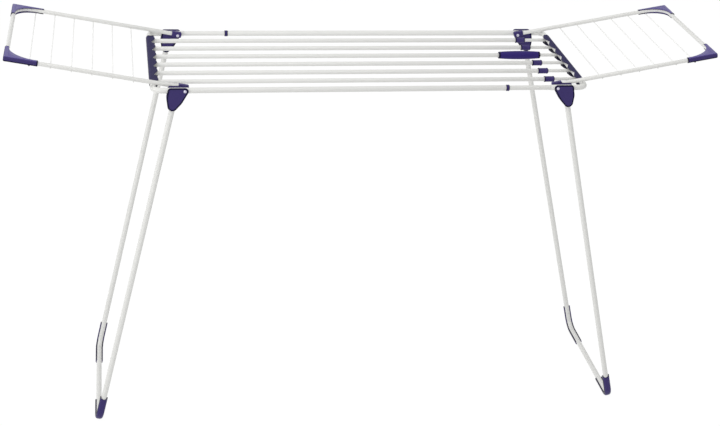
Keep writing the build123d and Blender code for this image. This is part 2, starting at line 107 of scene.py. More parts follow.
# ---- what the boxes can't say ----
FOOT_SPREAD = 246.5 * MM  # middle of the rack to a leg's axis, at the floor bar
FIXED_WIRE = 3.4 * MM  # diameter of the frame's own wires, which the wing's tilt is read from
SMALL_ROUND = 0.4 * MM  # rounding of the lips of the channel-shaped fittings
CLOSE = 0.01 * MM  # points nearer than this are one
CREASE = math.radians(35)  # faces that meet at a larger turn than this show an edge


def rod_y(number):
    """Where a pair of rods lies across the rack."""
    low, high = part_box(f"{THICK_ROD}{number}")
    return (low.y + high.y) / 2


def to_linear(hex_colour):
    """An sRGB hex colour as linear red, green and blue."""
    levels = [int(hex_colour[i:i + 2], 16) / 255 for i in (1, 3, 5)]
    return tuple(v / 12.92 if v <= 0.04045 else ((v + 0.055) / 1.055) ** 2.4 for v in levels)


def length(name, description, default, low=0.0, high=3.0):
    """A length in metres, as a property."""
    return FloatProperty(
        name=name, description=description, default=default, min=low, max=high, unit="LENGTH", precision=4
    )


def tint(name, description, hex_colour):
    """A colour, as a property."""
    return FloatVectorProperty(
        name=name, description=description, default=to_linear(hex_colour), subtype="COLOR", min=0, max=1
    )


class RackTubing(bpy.types.PropertyGroup):
    """Bends and walls of the tubes, rods and wires."""

    sides: IntProperty(name="Sides", description="Flats round a tube", default=32, min=8, max=96)
    bend_steps: IntProperty(name="Bend steps", description="Steps in a tube bend", default=12, min=3, max=48)
    frame_bend: length("Frame bend", "Radius of the frame tube's corner bends", 25.0 * MM)
    leg_tube: length("Leg tube", "Diameter of the leg tube", 16.0 * MM)
    leg_bend: length("Leg bend", "Radius of the bends at the floor", 34.0 * MM)
    leg_offset: length("Leg offset", "Hinge rivet to the leg's axis, outwards", 22.5 * MM)
    wing_tube: length("Wing tube", "Diameter of the wing tube", 12.0 * MM)
    wing_bend: length("Wing bend", "Radius of the wing tube's corner bends", 68.0 * MM)
    wing_rise: length("Wing rise", "Wing tube's axis above the hinge rivet", 2.5 * MM)
    wire: length("Wire", "Diameter of a wing wire with its plastic coat", 3.0 * MM)
    wire_count: IntProperty(name="Wires", description="Wires in each wing", default=6, min=2, max=12)
    wall: length("Wall", "Thickness of the tubes' walls", 0.8 * MM)
    mouth_depth: length("Mouth depth", "How far an open tube end is hollow", 25.0 * MM)
    end_round: length("End rounding", "Rounding of a cut tube end", 0.25 * MM)


class RackFittings(bpy.types.PropertyGroup):
    """Sizes of the moulded fittings and the rivets."""

    edge_round: length("Edge rounding", "Rounding of moulded edges", 0.5 * MM)
    plate: length("Plate", "Thickness of a shield plate", 3.0 * MM)
    plate_rim: length("Plate rim", "Width of the raised rim round a shield plate", 4.2 * MM)
    plate_sink: length("Plate field", "How far a shield plate's field lies below its rim", 0.5 * MM)
    plate_round: length("Hinge rounding", "Radius of the shield round the rivet", 10.0 * MM)
    corner_round: length("Corner rounding", "Radius of the shield's outer corner", 8.0 * MM)
    corner_out: length("Corner reach", "Rivet to the outer corner's centre", 39.5 * MM)
    belly_round: length("Belly rounding", "Radius of the swell between corner, tip and rivet", 23.2 * MM)
    belly_out: length("Belly reach", "Rivet to the swell's centre, outwards", 28.3 * MM)
    belly_down: length("Belly drop", "Rivet to the swell's centre, downwards", 22.0 * MM)
    tip_round: length("Tip rounding", "Radius of the shield's tip", 14.0 * MM)
    tip_out: length("Tip reach", "Rivet to the tip's centre, outwards", 35.0 * MM)
    tip_down: length("Tip drop", "Rivet to the tip's centre, downwards", 43.3 * MM)
    web: length("Web", "Thickness of the web between the shield plates", 3.0 * MM)
    socket_wall: length("Socket wall", "Wall of the socket round a leg", 1.9 * MM)
    stop_gap: length("Stop gap", "Web to the frame tube with the legs out", 0.3 * MM)
    comb_wall: length("Comb wall", "Wall of the comb", 1.7 * MM)
    comb_lip: length("Comb notch", "Crossbar's axis to the bottom of a notch", 5.4 * MM)
    comb_end: length("Comb end rounding", "Rounding of the comb's outer corners", 4.0 * MM)
    comb_step: length("Comb step", "How far a comb's lips lie inside its back", 0.6 * MM)
    shoulder: length("Shoulder", "Rod to the near shoulder of its tooth", 26.0 * MM)
    tooth_side: length("Tooth side", "Crossbar's axis to the shoulder of a tooth", 13.5 * MM)
    tooth_reach: length("Tooth reach", "Crossbar's axis to the tip of a tooth", 17.2 * MM)
    foot_out: length("Foot wall", "Leg's axis to the outer face of a foot", 9.2 * MM)
    foot_side: length("Foot side", "Leg's axis to each side face of a foot", 11.0 * MM)
    foot_in: length("Foot lip", "Leg's axis to the inner edge of a foot", 3.5 * MM)
    foot_round: length("Foot rounding", "Rounding of a foot's outer side", 8.0 * MM)
    foot_dip: length("Foot dip", "Depth of the curve in a foot's upper edge", 4.5 * MM)
    foot_up: length("Foot height", "Length of a foot up the leg", 79.0 * MM)
    foot_along: length("Foot length", "Length of a foot along the floor bar", 118.0 * MM)
    corner_wall: length("Cover wall", "Wall of a wing corner cover", 1.6 * MM)
    corner_side: length("Cover side arm", "Length of a corner cover along the wing's side", 85.0 * MM)
    corner_end: length("Cover end arm", "Length of a corner cover along the wing's end", 90.0 * MM)
    corner_edge: length("Cover edge", "Tube's axis to the inner edge of a corner cover", 4.0 * MM)
    corner_web: length("Cover web", "Radius of the web inside a corner cover", 74.0 * MM)
    corner_sharp: length("Cover corner", "Rounding of a cover's outer corner", 4.0 * MM)
    corner_round_over: length("Cover shoulder", "Rounding along a cover's outer wall", 4.5 * MM)
    web_sink: length("Web step", "How far a cover's web lies below its channel", 0.25 * MM)
    cap_height: length("Cap height", "Height of a wing hinge cap", 16.4 * MM)
    cap_in: length("Cap inner end", "Rivet to the rounded end of a hinge cap", 11.0 * MM)
    cap_out: length("Cap outer end", "Rivet to the open end of a hinge cap", 18.0 * MM)
    cap_round: length("Cap rounding", "Rounding of a hinge cap's inner end", 4.0 * MM)
    rivet: length("Rivet", "Diameter of a rivet's shank", 5.0 * MM)
    rivet_head: length("Rivet head", "Height of a rivet's head", 1.7 * MM)
    grip_end: length("Grip end", "Diameter of the twist grip at its ends", 20.5 * MM)


class RackColours(bpy.types.PropertyGroup):
    """Colours of the finishes."""

    enamel: tint("Enamel", "Powder coat on the tubes and rods", "#E6E6E3")
    wire: tint("Wire coat", "Plastic coat on the wing wires", "#FAFAF8")
    violet: tint("Violet", "Grained violet mouldings", "#382D68")
    # Violet edge: near-black violet painted as shade on the mouldings' rims, edges, ends and undersides.
    violet_edge_shade: tint("Violet edge", "Polished edges of the violet mouldings", "#0B0532")
    comb: tint("Comb violet", "Combs over the crossbars", "#2A264F")
    cover: tint("Cover violet", "Covers on the wings' corners", "#402F86")
    grip: tint("Grip", "The twist grip", "#31266E")
    rivet: tint("Rivet", "Zinc-plated rivets", "#CFCCDC")
    glide: tint("Glide", "Natural glides and bushes", "#E6E2D6")
    floor: tint("Floor", "Floor and backdrop", "#FFFFFF")


# ---- meshes ----
def is_vert(item):
    """Whether an item that an operator gave back is a vertex."""
    return isinstance(item, bmesh.types.BMVert)


def is_edge(item):
    """Whether an item that an operator gave back is an edge."""
    return isinstance(item, bmesh.types.BMEdge)


def facing(point, direction):
    """A matrix that puts a shape made about Z at a point, with its Z along a direction."""
    turn = Vector(direction).to_track_quat("Z", "Y").to_matrix().to_4x4()
    return Matrix.Translation(point) @ turn


def push(bm, loop, by):
    """Extrudes a loop of edges by a vector and gives the new loop."""
    made = bmesh.ops.extrude_edge_only(bm, edges=loop)["geom"]
    bmesh.ops.translate(bm, verts=[item for item in made if is_vert(item)], vec=by)
    return [item for item in made if is_edge(item) and item.is_boundary]


def shrink(bm, loop, centre, share):
    """Extrudes a loop of edges towards a centre, to a share of its size."""
    made = bmesh.ops.extrude_edge_only(bm, edges=loop)["geom"]
    verts = [item for item in made if is_vert(item)]
    bmesh.ops.scale(bm, verts=verts, vec=(share,) * 3, space=Matrix.Translation(-Vector(centre)))
    return [item for item in made if is_edge(item) and item.is_boundary]


def follow(bm, loop, points, radius, steps):
    """Carries a loop of edges along straight runs joined by bends of one radius."""
    here = points[0]
    heading = (points[1] - points[0]).normalized()
    for corner, after in zip(points[1:-1], points[2:]):
        onward = (after - corner).normalized()
        turn = heading.angle(onward)
        reach = radius * math.tan(turn / 2)
        loop = push(bm, loop, corner - heading * reach - here)
        start = corner - heading * reach
        axis = heading.cross(onward).normalized()
        geom = list({vert for edge in loop for vert in edge.verts}) + loop
        centre = start + axis.cross(heading) * radius
        spun = bmesh.ops.spin(bm, geom=geom, cent=centre, axis=axis, dvec=(0, 0, 0), angle=turn, steps=steps)
        loop = [item for item in spun["geom_last"] if is_edge(item)]
        here = corner + onward * reach
        heading = onward
    return push(bm, loop, points[-1] - here)


def tube(points, radius, bend=0.0, open_start=False, open_end=False):
    """A tube along a path, with a hollow mouth at each open end and a plug at each hidden one."""
    sizes = bpy.context.scene.rack_tubing
    points = [Vector(point) for point in points]
    bm = bmesh.new()
    first = (points[1] - points[0]).normalized()
    last = (points[-1] - points[-2]).normalized()
    circle = bmesh.ops.create_circle(
        bm, segments=sizes.sides, radius=radius, cap_ends=False, matrix=facing(points[0], first)
    )
    start = list({edge for vert in circle["verts"] for edge in vert.link_edges})
    end = follow(bm, start, points, bend, sizes.bend_steps)
    for loop, point, inwards, is_open in (
        (start, points[0], first, open_start),
        (end, points[-1], -last, open_end),
    ):
        if is_open:
            loop = shrink(bm, loop, point, 1 - sizes.wall / radius)
            loop = push(bm, loop, inwards * sizes.mouth_depth)
        bmesh.ops.edgeloop_fill(bm, edges=loop)
    bmesh.ops.recalc_face_normals(bm, faces=bm.faces)
    round_edges(bm, sizes.end_round)
    return bm


def round_edges(bm, size, segments=2, angle=40):
    """Rounds every edge that turns by more than an angle."""
    limit = math.radians(angle)
    sharp = [edge for edge in bm.edges if edge.is_manifold and edge.calc_face_angle() > limit]
    bmesh.ops.bevel(
        bm, geom=sharp, offset=size, offset_type="OFFSET", segments=segments, profile=0.5,
        affect="EDGES", clamp_overlap=True, material=-1,
    )


def paint_shade(bm, chosen, coat=1):
    """Paints the faces that pass a test with another coat of their piece, the second unless said: a darker
    coat that stands in for shade.
    """
    for face in bm.faces:
        if chosen(face):
            face.material_index = coat


def paint_shaded_ends(bm, low, high, band):
    """Paints the near-black edge shade on a band at each end of a piece turned about X, between two ends."""
    paint_shade(bm, lambda face: not low.x + band < face.calc_center_median().x < high.x - band)


def lathe(profile, centre, axis, steps=40):
    """Turns a profile of (along, radius) points round an axis through a centre."""
    bm = bmesh.new()
    verts = [bm.verts.new((radius, 0, along)) for along, radius in profile]
    edges = [bm.edges.new(pair) for pair in zip(verts, verts[1:])]
    bmesh.ops.spin(
        bm, geom=verts + edges, cent=(0, 0, 0), axis=(0, 0, 1), dvec=(0, 0, 0),
        angle=2 * math.pi, steps=steps, use_merge=True,
    )
    bmesh.ops.remove_doubles(bm, verts=bm.verts, dist=CLOSE)
    bmesh.ops.recalc_face_normals(bm, faces=bm.faces)
    bmesh.ops.transform(bm, matrix=facing(centre, axis), verts=bm.verts)
    return bm


def dome(height, radius, steps):
    """The (along, radius) profile of a rounded tip."""
    angles = [math.pi / 2 * i / steps for i in range(steps + 1)]
    return [(height * (1 - math.cos(angle)), radius * math.sin(angle)) for angle in angles]


def both_ends(profile, whole):
    """A profile of one end, and the same at the other end of a piece of a whole length."""
    return profile + [(whole - along, radius) for along, radius in reversed(profile)]


def bar_profile(radius, whole, steps=4):
    """The (along, radius) profile of a bar with rounded ends."""
    return both_ends(dome(radius, radius, steps), whole)


def both_sides(half):
    """One side of a section from its middle plane outwards, and its mirror image back."""
    return half + [(out, -side) for out, side in reversed(half)]


def arc(centre, radius, start, end, steps):
    """Points round an arc, by angles in degrees."""
    angles = [math.radians(start + (end - start) * i / steps) for i in range(steps + 1)]
    return [(centre[0] + radius * math.cos(a), centre[1] + radius * math.sin(a)) for a in angles]


def ring_of(bm, points):
    """New vertices at some points, and the edges that join them in a ring."""
    verts = [bm.verts.new(point) for point in points]
    return [bm.edges.new(pair) for pair in zip(verts, verts[1:] + verts[:1])]


def moulded_strip(stations):
    """A solid whose section changes from station to station, closed at both ends."""
    bm = bmesh.new()
    loops = [ring_of(bm, points) for points in stations]
    for one, other in zip(loops, loops[1:]):
        bmesh.ops.bridge_loops(bm, edges=one + other)
    for loop in (loops[0], loops[-1]):
        bmesh.ops.contextual_create(bm, geom=loop)
    return bm


def join(*shapes):
    """Several shapes as one bmesh."""
    whole = bmesh.new()
    for shape in shapes:
        mesh = bpy.data.meshes.new("part")
        shape.to_mesh(mesh)
        shape.free()
        whole.from_mesh(mesh)
        bpy.data.meshes.remove(mesh)
    return whole


def slab(outline, low, high, matrix):
    """A flat outline made solid between two heights, then put in place."""
    bm = bmesh.new()
    verts = [bm.verts.new((x, y, low)) for x, y in outline]
    face = bm.faces.new(verts)
    made = bmesh.ops.extrude_face_region(bm, geom=[face])["geom"]
    bmesh.ops.translate(bm, verts=[item for item in made if is_vert(item)], vec=(0, 0, high - low))
    bmesh.ops.recalc_face_normals(bm, faces=bm.faces)
    bmesh.ops.transform(bm, matrix=matrix, verts=bm.verts)
    return bm


def cut(bm, point, normal, keep_above):
    """Cuts a solid by a plane, keeps one side and closes it."""
    made = bmesh.ops.bisect_plane(
        bm, geom=list(bm.verts) + list(bm.edges) + list(bm.faces), dist=0.1 * CLOSE,
        plane_co=point, plane_no=normal, clear_inner=keep_above, clear_outer=not keep_above,
    )
    edges = [item for item in made["geom_cut"] if is_edge(item)]
    bmesh.ops.edgeloop_fill(bm, edges=edges)
    bmesh.ops.recalc_face_normals(bm, faces=bm.faces)


# ---- pieces ----
def show(name, bm, coats, body, stands_for):
    """Makes a mesh a piece that rides on a body and stands for a node, and frees the mesh."""
    mesh = bpy.data.meshes.new(name)
    bm.to_mesh(mesh)
    bm.free()
    mesh.shade_smooth()
    mesh.set_sharp_from_angle(angle=CREASE)
    for coat in coats:
        mesh.materials.append(coat)
    piece = bpy.data.objects.new(name, mesh)
    bpy.context.scene.collection.objects.link(piece)
    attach(piece, body)
    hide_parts(stands_for)


def half_turned(bm):
    """A copy turned half round about Z."""
    copy = bm.copy()
    bmesh.ops.rotate(copy, cent=(0, 0, 0), matrix=Matrix.Rotation(math.pi, 3, "Z"), verts=copy.verts)
    return copy


def mirrored(bm):
    """A copy mirrored front to back, with its faces the right way out."""
    copy = bm.copy()
    bmesh.ops.scale(copy, vec=(1, -1, 1), verts=copy.verts)
    bmesh.ops.reverse_faces(copy, faces=copy.faces)
    return copy


def both_halves(name, bm, coats, body, stands_for):
    """A right-hand piece and its twin on the left-hand half."""
    left = half_turned(bm)
    for side, shape in (("right", bm), ("left", left)):
        show(f"{side}_{name}", shape, coats, f"{side}_{body}", f"{side}_{stands_for}")


def all_corners(name, bm, coats, body, stands_for):
    """A rear right piece, its mirror image at the front, and their twins on the left."""
    for end, opposite, shape in (("rear", "front", bm), ("front", "rear", mirrored(bm))):
        both = (("right", end, shape), ("left", opposite, half_turned(shape)))
        for side, place, made in both:
            corner = f"{side}_{place}_"
            show(corner + name, made, coats, f"{side}_{body}", corner + stands_for)


# ---- finishes ----
def emptied(owner):
    """A new material or world, with its node tree cleared."""
    owner.use_nodes = True
    owner.node_tree.nodes.clear()
    return owner


def node(owner, kind, links=(), **settings):
    """Adds a shader node to a material or world, sets it up by name and links its inputs."""
    made = owner.node_tree.nodes.new(kind)
    for key, value in settings.items():
        if hasattr(made, key):
            setattr(made, key, value)
        else:
            made.inputs[key.replace("_", " ")].default_value = value
    for socket, source in links:
        owner.node_tree.links.new(source, made.inputs[socket])
    return made


def noise(material, size, **settings):
    """Noise on Object coordinates, whose patches are size metres across."""
    place = node(material, "ShaderNodeTexCoord")
    links = [("Vector", place.outputs["Object"])]
    return node(material, "ShaderNodeTexNoise", links, Scale=1 / size, **settings).outputs["Fac"]


def coated(name, colour, darker, roughness, patch, grain, bump, depth, **shader):
    """A coloured surface with a fine grain, and a slow drift in colour and gloss from patch to patch."""
    spread = 0.15
    material = emptied(bpy.data.materials.new(name))
    drift = noise(material, patch)
    shade = node(material, "ShaderNodeMix", [("Factor", drift)], data_type="RGBA")
    shade.inputs["A"].default_value = (*[v * darker for v in colour], 1)
    shade.inputs["B"].default_value = (*colour, 1)
    gloss = node(
        material, "ShaderNodeMapRange", [("Value", drift)],
        To_Min=roughness * (1 - spread), To_Max=roughness * (1 + spread),
    )
    relief = node(
        material, "ShaderNodeBump", [("Height", noise(material, grain, Detail=2.0))],
        Strength=bump, Distance=depth,
    )
    links = [
        ("Base Color", shade.outputs["Result"]),
        ("Roughness", gloss.outputs["Result"]),
        ("Normal", relief.outputs["Normal"]),
    ]
    surface = node(material, "ShaderNodeBsdfPrincipled", links, **shader)
    node(material, "ShaderNodeOutputMaterial", [("Surface", surface.outputs["BSDF"])])
    return material


def powder_coat():
    """White epoxy powder coat on steel: satin, with a faint orange peel a few millimetres across."""
    return coated(
        "powder_coated_steel", bpy.context.scene.rack_colours.enamel,
        darker=0.97, roughness=0.38, patch=60 * MM, grain=2.5 * MM, bump=0.12, depth=0.05 * MM,
    )


def dipped_wire():
    """Wire dipped in white PVC: smoother and glossier than the powder coat."""
    return coated(
        "pvc_dipped_wire", bpy.context.scene.rack_colours.wire,
        darker=0.98, roughness=0.3, patch=40 * MM, grain=3.0 * MM, bump=0.08, depth=0.05 * MM,
    )


def violet_moulding():
    """Injection-moulded polypropylene with a spark-eroded grain, drawn at about 1 mm so that it shows."""
    return coated(
        "violet_polypropylene", bpy.context.scene.rack_colours.violet,
        darker=0.93, roughness=0.5, patch=30 * MM, grain=1.0 * MM, bump=0.25, depth=0.08 * MM,
        Specular_IOR_Level=0.25,
    )


def comb_moulding():
    """A darker polypropylene with the same grain, for the combs: hardly any shine."""
    return coated(
        "dark_violet_polypropylene", bpy.context.scene.rack_colours.comb,
        darker=0.93, roughness=0.5, patch=30 * MM, grain=1.0 * MM, bump=0.25, depth=0.08 * MM,
        Specular_IOR_Level=0.05,
    )


def cover_moulding():
    """A lighter and glossier polypropylene, for the covers on the wings' corners."""
    return coated(
        "glossy_violet_polypropylene", bpy.context.scene.rack_colours.cover,
        darker=0.95, roughness=0.36, patch=30 * MM, grain=1.5 * MM, bump=0.1, depth=0.05 * MM,
        Specular_IOR_Level=0.5,
    )


def violet_edge_shade():
    """The same polypropylene in a near-black violet, painted as shade on rims, edges, ends and undersides:
    darker, and it shines.
    """
    return coated(
        "painted_edge_shade_polypropylene", bpy.context.scene.rack_colours.violet_edge_shade,
        darker=0.9, roughness=0.34, patch=30 * MM, grain=2.0 * MM, bump=0.05, depth=0.03 * MM,
        Specular_IOR_Level=0.12,
    )


def grip_moulding():
    """Injection-moulded ABS: deeper in colour and smoother than the grained mouldings."""
    return coated(
        "violet_abs", bpy.context.scene.rack_colours.grip,
        darker=0.95, roughness=0.36, patch=30 * MM, grain=1.5 * MM, bump=0.12, depth=0.05 * MM,
        Specular_IOR_Level=0.12,
    )


def glide_moulding():
    """Natural acetal: off-white and waxy."""
    return coated(
        "natural_acetal", bpy.context.scene.rack_colours.glide,
        darker=0.96, roughness=0.42, patch=15 * MM, grain=1.0 * MM, bump=0.1, depth=0.05 * MM,
    )


def rivet_metal():
    """Zinc-plated steel, pressed to a dome, with fine swirls from the rivet tool."""
    return coated(
        "zinc_plated_steel", bpy.context.scene.rack_colours.rivet,
        darker=0.9, roughness=0.32, patch=4 * MM, grain=0.6 * MM, bump=0.15, depth=0.04 * MM,
        Metallic=1.0,
    )


def finishes():
    """Each finish by its name, made once."""
    makers = {
        "powder_coated_steel": powder_coat,
        "pvc_dipped_wire": dipped_wire,
        "violet_polypropylene": violet_moulding,
        "dark_violet_polypropylene": comb_moulding,
        "glossy_violet_polypropylene": cover_moulding,
        "painted_edge_shade_polypropylene": violet_edge_shade,
        "violet_abs": grip_moulding,
        "natural_acetal": glide_moulding,
        "zinc_plated_steel": rivet_metal,
    }
    return {name: bpy.data.materials.get(name) or make() for name, make in makers.items()}


def violet_pair(kind="violet"):
    """The violet of one kind of moulding, and the near-black violet painted as shade on its edges."""
    made = finishes()
    return [made[f"{kind}_polypropylene"], made["painted_edge_shade_polypropylene"]]


# ---- the leg frame's plane ----
def leg_lean():
    """How far a leg leans from upright, from the rivet, the floor bar and the offset between them."""
    foot = foot_axis()
    run = foot.x - PIVOT_X
    drop = FRAME_Z - foot.z
    offset = bpy.context.scene.rack_tubing.leg_offset
    return math.atan2(run, drop) - math.asin(offset / math.hypot(run, drop))


def foot_axis():
    """A point on the axis of the right-hand floor bar, in the middle plane."""
    radius = bpy.context.scene.rack_tubing.leg_tube / 2
    return Vector((leg_high.x - radius, 0, leg_low.z + radius))


def leg_spread(along):
    """Half the distance between the leg axes, at a length above the floor bar."""
    offset = bpy.context.scene.rack_tubing.leg_offset
    foot = foot_axis()
    reach = math.sqrt((foot.x - PIVOT_X) ** 2 + (FRAME_Z - foot.z) ** 2 - offset ** 2)
    return FOOT_SPREAD + (FRAME_Y - FOOT_SPREAD) * along / reach


def leg_point(across, along):
    """A point in the plane of the right-hand legs, from the middle and the floor bar."""
    lean = leg_lean()
    return foot_axis() + Vector((-math.sin(lean) * along, across, math.cos(lean) * along))


def leg_axis(along, side=1):
    """A point on the rear right leg's axis, or on the front one's where side is -1."""
    return leg_point(side * leg_spread(along), along)


def leg_top():
    """Length of a leg from the floor bar to its upper end under the stop web."""
    fittings = bpy.context.scene.rack_fittings
    radius = bpy.context.scene.rack_tubing.leg_tube / 2
    lean = leg_lean()
    under_web = FRAME_Z - TUBE_R - fittings.stop_gap - fittings.web
    return (under_web - foot_axis().z - radius * math.sin(lean)) / math.cos(lean)


# ---- the wing's plane ----
def wing_tilt():
    """How far the wing rises from level, from the first and last wires."""
    rise = wires_high.z - wires_low.z - FIXED_WIRE
    return math.atan2(rise, wires_high.x - wires_low.x - FIXED_WIRE)


def wing_axes():
    """Outwards along the right wing, and up from it."""
    tilt = wing_tilt()
    along = Vector((math.cos(tilt), 0, math.sin(tilt)))
    return along, Vector((-along.z, 0, along.x))


def wing_length():
    """Rivet to the axis of the end tube, along the wing."""
    sizes = bpy.context.scene.rack_tubing
    tilt = wing_tilt()
    end_x = wing_high.x - sizes.wing_tube / 2
    return (end_x - PIVOT_X + sizes.wing_rise * math.sin(tilt)) / math.cos(tilt)


def wing_place():
    """The wing's plane: X across to the rear, Y along outwards from the rivets, Z up from them."""
    along, up = wing_axes()
    turn = Matrix((along.cross(up), along, up)).transposed().to_4x4()
    return Matrix.Translation((PIVOT_X, 0, FRAME_Z)) @ turn


# ---- operators ----
class RACK_OT_tubes(bpy.types.Operator):
    """Bend the two frame tubes and fit the straight slide tubes between them"""

    bl_idname = "rack.tubes"
    bl_label = "Frame tubes"

    def execute(self, context):
        sizes = context.scene.rack_tubing
        enamel = [finishes()["powder_coated_steel"]]
        stub_x = PIVOT_X - 2 * context.scene.rack_fittings.plate_round
        path = [
            (LONG_END_X, FRAME_Y, FRAME_Z),
            (CROSSBAR_X, FRAME_Y, FRAME_Z),
            (CROSSBAR_X, -FRAME_Y, FRAME_Z),
            (stub_x, -FRAME_Y, FRAME_Z),
        ]
        bent = tube(path, TUBE_R, sizes.frame_bend, open_start=True, open_end=True)
        both_halves("frame_pipe", bent, enamel, "frame", "frame_tube")
        straight = tube([(x, -FRAME_Y, FRAME_Z) for x in (slide_low.x, slide_high.x)], SLIDE_R)
        both_halves("slide_pipe", straight, enamel, "frame", "slide_tube")
        return {"FINISHED"}


class RACK_OT_rings(bpy.types.Operator):
    """Turn the guide ring on the open end of each long frame tube"""

    bl_idname = "rack.rings"
    bl_label = "Tube rings"

    def execute(self, context):
        outer = (ring_high.z - ring_low.z) / 2
        width = ring_high.x - ring_low.x
        lip = LONG_END_X - ring_low.x
        band = 2.5 * MM
        soft = context.scene.rack_fittings.edge_round
        profile = [
            (lip, SLIDE_R), (0, SLIDE_R), (0, outer - 2 * soft), (0.3 * soft, outer - 0.6 * soft),
            (soft, outer), (band, outer), (width - band, outer), (width - soft, outer),
            (width, outer - soft), (width, TUBE_R), (lip, TUBE_R), (lip, SLIDE_R),
        ]
        ring = lathe(profile, (ring_low.x, FRAME_Y, FRAME_Z), (1, 0, 0))
        # The ring's end bands get the near-black violet as painted edge shade.
        paint_shaded_ends(ring, ring_low, ring_high, band)
        both_halves("end_ring", ring, violet_pair(), "frame", "tube_ring")
        return {"FINISHED"}


class RACK_OT_rods(bpy.types.Operator):
    """Lay the six thick rods and the six thin rods that slide in them"""

    bl_idname = "rack.rods"
    bl_label = "Rods"

    def execute(self, context):
        enamel = [finishes()["powder_coated_steel"]]
        for number in ROD_NUMBERS:
            y = rod_y(number)
            thick_node, thin_node = f"{THICK_ROD}{number}", f"{THIN_ROD}{number}"
            welded_end = saddle(OUTER_R) - CROSSBAR_X
            collar_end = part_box(thick_node)[1].x
            thick = tube([(welded_end, y, FRAME_Z), (collar_end, y, FRAME_Z)], OUTER_R)
            show(f"thick_rod_{number}", thick, enamel, "left_frame", thick_node)
            welded_end = CROSSBAR_X - saddle(INNER_R)
            hidden_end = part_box(thin_node)[0].x
            thin = tube([(hidden_end, y, FRAME_Z), (welded_end, y, FRAME_Z)], INNER_R)
            show(f"thin_rod_{number}", thin, enamel, "right_frame", thin_node)
        return {"FINISHED"}


def saddle(radius):
    """Crossbar's axis to the end of a rod of some radius that is welded to its side."""
    return math.sqrt(TUBE_R ** 2 - radius ** 2)


class RACK_OT_collars(bpy.types.Operator):
    """Turn the collar on the end of each thick rod"""

    bl_idname = "rack.collars"
    bl_label = "Rod collars"

    def execute(self, context):
        for number in ROD_NUMBERS:
            name = f"rod_collar_{number}"
            if name in frame["nodes"]:
                low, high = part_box(name)
                profile = collar_profile(high.x - low.x, (high.z - low.z) / 2)
                collar = lathe(profile, (low.x, rod_y(number), FRAME_Z), (1, 0, 0))
                # The collar's end bands get the near-black violet as painted edge shade.
                paint_shaded_ends(collar, low, high, 3.5 * MM)
                show(f"collar_{number}", collar, violet_pair(), "left_frame", name)
        return {"FINISHED"}


def collar_profile(width, outer):
    """A collar's (along, radius) profile: a bead at each end, a waist between, a lip at the thin rod."""
    soft = bpy.context.scene.rack_fittings.edge_round
    waist = outer - 0.5 * MM
    step = 1.0 * MM
    bead = 3.0 * MM
    lip = 2.0 * MM
    front_bead = width - 5.0 * MM
    nose = 2.5 * MM
    front_round = 2.2 * MM
    chamfer = 0.8 * MM
    return [
        (0, OUTER_R), (0, outer - soft), (soft, outer), (bead, outer), (bead + step, waist),
        (front_bead - step, waist), (front_bead, outer), (width - nose, outer),
        (width - chamfer, outer - chamfer), (width, outer - front_round), (width, INNER_R),
        (width - lip, INNER_R), (width - lip, OUTER_R), (0, OUTER_R),
    ]


class RACK_OT_grip(bpy.types.Operator):
    """Turn the barrel of the twist grip"""

    bl_idname = "rack.grip"
    bl_label = "Twist grip"

    def execute(self, context):
        fittings = context.scene.rack_fittings
        half = (grip_high.x - grip_low.x) / 2
        middle = (grip_high.z - grip_low.z) / 2
        end = fittings.grip_end / 2
        mouth = 7.8 * MM
        bore = OUTER_R + 0.1 * MM
        step = 1.0 * MM
        rear_mouth = 13.0 * MM - half
        front_mouth = half - 27.0 * MM
        steps = 24
        profile = [(rear_mouth + step, bore), (rear_mouth, mouth), (-half, mouth)]
        for i in range(steps + 1):
            share = 2 * i / steps - 1
            profile.append((half * share, end + (middle - end) * (1 - share ** 2)))
        profile += [(half, mouth), (front_mouth, mouth), (front_mouth - step, bore), profile[0]]
        centre = ((grip_low.x + grip_high.x) / 2, GRIP_Y, FRAME_Z)
        barrel = lathe(profile, centre, (1, 0, 0), steps=48)
        round_edges(barrel, fittings.edge_round)
        # The grip's end bands get the near-black violet as painted edge shade.
        paint_shaded_ends(barrel, grip_low, grip_high, 3.5 * MM)
        coats = [finishes()["violet_abs"], finishes()["painted_edge_shade_polypropylene"]]
        show("grip_barrel", barrel, coats, "grip", "twist_grip")
        return {"FINISHED"}


class RACK_OT_combs(bpy.types.Operator):
    """Mould the comb that clips over each crossbar and hoods the rod ends"""

    bl_idname = "rack.combs"
    bl_label = "Combs"

    def execute(self, context):
        comb = comb_strip(context.scene.rack_fittings)
        both_halves("comb_clip", comb, violet_pair("dark_violet"), "frame", "comb")
        return {"FINISHED"}


def comb_stations(fittings):
    """(across, reach of the lips) from the front of the comb to its rear, tooth by tooth."""
    ys = sorted(rod_y(number) for number in ROD_NUMBERS)
    notch = (ys[1] - ys[0]) / 2
    lip, side, tip = fittings.comb_lip, fittings.tooth_side, fittings.tooth_reach
    near = (side - lip) / (notch - fittings.shoulder)
    far = (tip - lip) / notch
    soft = 1.2 * MM
    ease = 0.1 * MM
    from_ends = [share * fittings.comb_end for share in (0, 0.1, 0.35, 0.7)]
    low_end = lip + near * (comb_low.y - (ys[0] - notch))
    high_end = lip + far * (ys[-1] + notch - comb_high.y)
    stations = [(comb_low.y + from_end, low_end + near * from_end) for from_end in from_ends]
    for y in ys:
        if y - notch > comb_low.y:
            stations += [(y - notch, lip), (y - notch + soft, lip + soft * near)]
        stations += [
            (y - fittings.shoulder - soft, side - soft * near),
            (y - fittings.shoulder, side - ease),
            (y - fittings.shoulder + soft, side),
            (y - soft, tip - 2 * ease),
            (y, tip),
            (y + soft, tip - soft * far),
        ]
        if y + notch < comb_high.y:
            stations.append((y + notch - soft, lip + soft * far))
    stations += [(comb_high.y - from_end, high_end + far * from_end) for from_end in from_ends[::-1]]
    return stations


